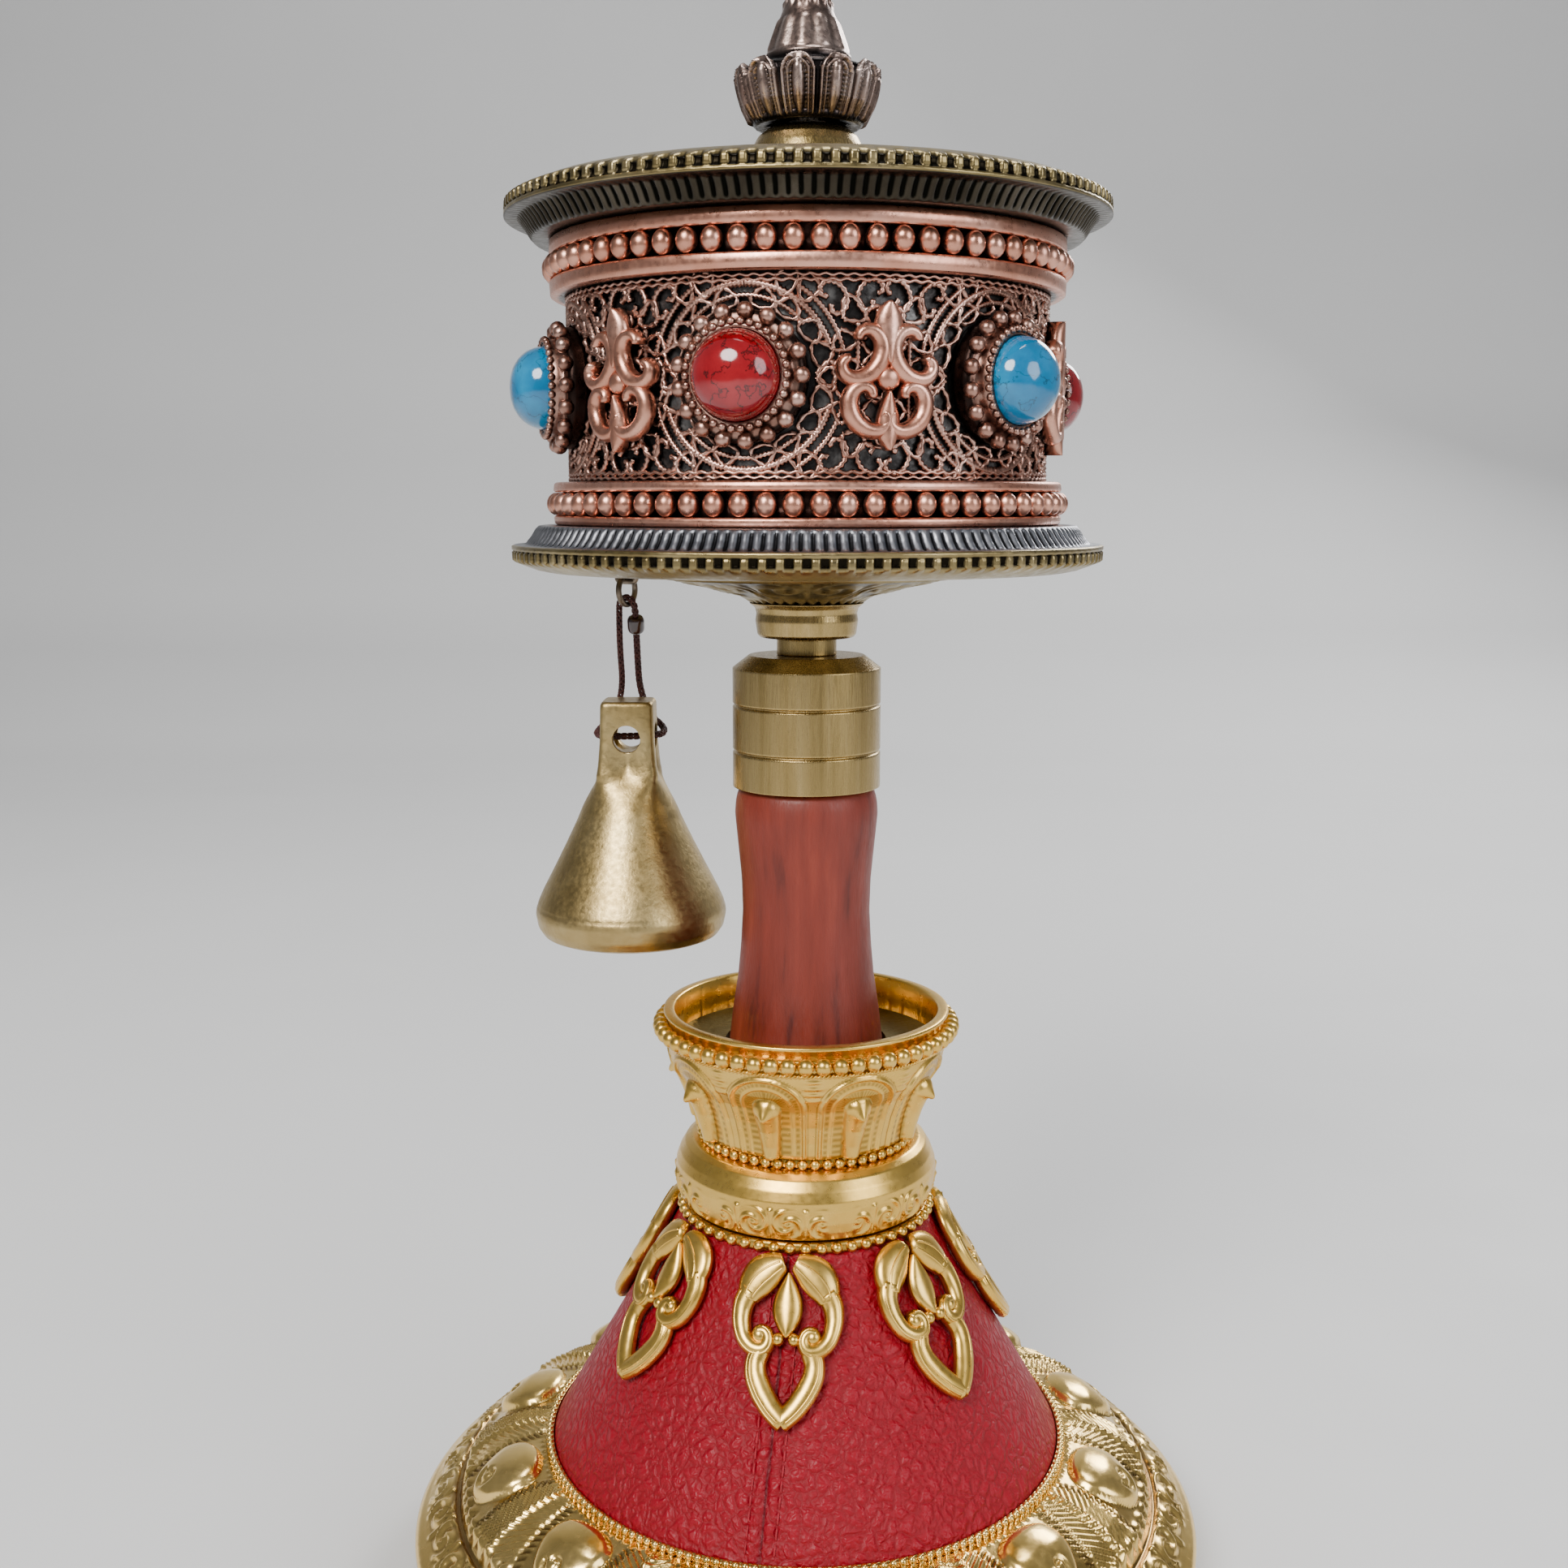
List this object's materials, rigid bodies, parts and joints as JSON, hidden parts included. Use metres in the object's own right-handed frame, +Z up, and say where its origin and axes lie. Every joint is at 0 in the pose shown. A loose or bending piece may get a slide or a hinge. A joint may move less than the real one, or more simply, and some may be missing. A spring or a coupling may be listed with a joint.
{
  "type": "prayer wheel on stand",
  "caption": "Hand-held prayer wheel: a jewelled drum that spins on its handle with a swinging weight, standing in a leather and gold vase-shaped stand.",
  "frame": {"origin": "middle of the stand's underside, on the table", "axes": "+Z up along the spindle, +X to the right and +Y to the back of the front view"},
  "size_m": [0.1076, 0.1076, 0.2185],
  "materials": {
    "gold": "satin cast and embossed gold-coloured brass",
    "turned_wood": "plain turned wood",
    "felt": "dark felt",
    "leather": "crimson pebbled leather",
    "aluminium": "drawn tube",
    "steel": "drawn steel wire and rod",
    "handle_wood": "red-brown polished hardwood",
    "brass": "satin turned brass",
    "dark_silver": "darkened silver plate, copper-coloured edges",
    "silver": "dull silver plate",
    "copper": "darkened copper plate, rubbed bright on the high parts",
    "plate_metal": "copper and silver plate, rubbed bright on the high parts",
    "turquoise_stone": "polished turquoise-coloured cabochon",
    "red_stone": "polished red cabochon",
    "paper": "wound plain paper",
    "cord": "dark maroon braided cord",
    "dull_gold": "dull greenish gold",
    "dark_bead": "dark glossy bead"
  },
  "bodies": {
    "stand": {"base_skirt": "gold", "base_plate": "turned_wood", "felt_pad": "felt", "cone_core": "turned_wood", "leather_cover": "leather", "hem_beads": "gold", "collar": "gold", "collar_beads": "gold", "cup": "gold", "foot_beads": "gold", "rim_rope": "gold", "rim_beads": "gold", "socket_disc": "dull_gold", "socket_tube": "aluminium", "socket_plug": "aluminium", "tie_screw": "steel", "tie_washer": "steel", "pendant_1": "gold", "pendant_2": "gold", "pendant_3": "gold", "pendant_4": "gold", "pendant_5": "gold", "pendant_6": "gold", "pendant_7": "gold"},
    "grip": {"handle": "handle_wood", "ferrule": "brass", "spindle": "steel", "thrust_washer": "brass", "finial": "dark_silver"},
    "drum": {"lower_plate": "plate_metal", "upper_plate": "plate_metal", "drum_shell": "silver", "filigree_sleeve": "copper", "lower_band": "copper", "upper_band": "copper", "lower_hub": "brass", "upper_cap": "brass", "lower_bush": "brass", "upper_bush": "brass", "core_tube": "brass", "scripture_roll": "paper", "stone_settings": "copper", "stone_1": "red_stone", "stone_2": "turquoise_stone", "stone_3": "red_stone", "stone_4": "turquoise_stone", "stone_5": "red_stone", "stone_6": "turquoise_stone", "ornament_1": "copper", "ornament_2": "copper", "ornament_3": "copper", "ornament_4": "copper", "ornament_5": "copper", "ornament_6": "copper", "weight_staple": "steel"},
    "ring": {"swivel_ring": "steel"},
    "weight": {"weight_cord": "cord", "cord_bead": "dark_bead", "weight_bell": "brass"}
  },
  "joints": [
    {"name": "lift_out", "type": "slide", "parent": "stand", "child": "grip", "axis": [0, 0, 1], "range_m": [0, 0.045]},
    {"name": "drum_spin", "type": "hinge", "parent": "grip", "child": "drum", "pos_m": [0, 0, 0.161], "axis": [0, 0, 1], "continuous": true},
    {"name": "ring_swing", "type": "hinge", "parent": "drum", "child": "ring", "pos_m": [-0.0246, 0.013, 0.1358], "axis": [-0.8842, 0.4672, 0], "range_deg": [-35, 35]},
    {"name": "weight_swing", "type": "hinge", "parent": "ring", "child": "weight", "pos_m": [-0.0246, 0.013, 0.13265], "axis": [0.4672, 0.8842, 0], "range_deg": [-5, 80]}
  ]
}
